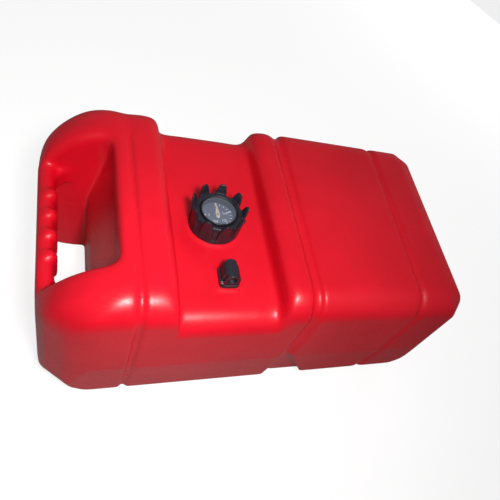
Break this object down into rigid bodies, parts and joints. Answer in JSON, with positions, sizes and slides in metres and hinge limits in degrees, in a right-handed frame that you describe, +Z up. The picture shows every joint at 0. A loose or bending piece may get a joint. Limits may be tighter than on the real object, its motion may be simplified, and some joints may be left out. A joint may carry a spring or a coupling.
{
  "type": "portable outboard fuel tank",
  "caption": "Portable blow-moulded fuel tank with an end carry handle, a screw cap that clamps a float gauge, and a withdrawal fitting with dip tube.",
  "frame": {"origin": "middle of the footprint on the surface the tank stands on", "axes": "+Z up, +X along the length from the handle end to the plain end, +Y across the width, away from the withdrawal fitting"},
  "size_m": [0.64, 0.36, 0.284],
  "materials": {
    "red_shell": "satin",
    "black_rubber": "matte",
    "black_plastic": "satin",
    "dial_plastic": "matte",
    "grey_rubber": "matte",
    "clear_window": "clear",
    "pointer_orange": "matte",
    "bright_steel": "brushed",
    "float_foam": "matte foam",
    "brass": "machined",
    "tube_plastic": "translucent"
  },
  "bodies": {
    "tank": {"tank_shell": "red_shell", "pickup_body": "black_plastic", "pickup_gasket": "black_rubber", "pickup_screws": "bright_steel", "screw_inserts": "brass", "dip_tube": "tube_plastic", "tube_ferrule": "brass", "pickup_screen": "bright_steel"},
    "gauge": {"gauge_housing": "black_plastic", "neck_gasket": "black_rubber", "gauge_dial": "dial_plastic", "lens_seal": "grey_rubber", "gauge_lens": "clear_window", "guide_rods": "bright_steel", "foot_plate": "black_plastic", "rod_clips": "bright_steel", "vent_valve": "grey_rubber"},
    "cap": {"cap_ring": "black_plastic"},
    "rotor": {"pointer": "pointer_orange", "spindle": "bright_steel", "twisted_strip": "bright_steel"},
    "float": {"float": "float_foam", "slot_plate": "bright_steel"}
  },
  "joints": [
    {"name": "gauge_lift", "type": "slide", "parent": "tank", "child": "gauge", "axis": [0, 0, 1], "range_m": [0, 0.26]},
    {"name": "cap_turn", "type": "hinge", "parent": "gauge", "child": "cap", "pos_m": [-0.096, -0.014, 0.25], "axis": [0, 0, 1], "range_deg": [0, 540]},
    {"name": "float_rise", "type": "slide", "parent": "gauge", "child": "float", "axis": [0, 0, 1], "range_m": [0, 0.17]},
    {"name": "pointer_turn", "type": "hinge", "parent": "gauge", "child": "rotor", "pos_m": [-0.096, -0.014, 0.2], "axis": [0, 0, 1], "range_deg": [-270, 0]}
  ],
  "couplings": [
    {"joint": "pointer_turn", "follows": "float_rise", "rad_per_m": -27.72}
  ]
}
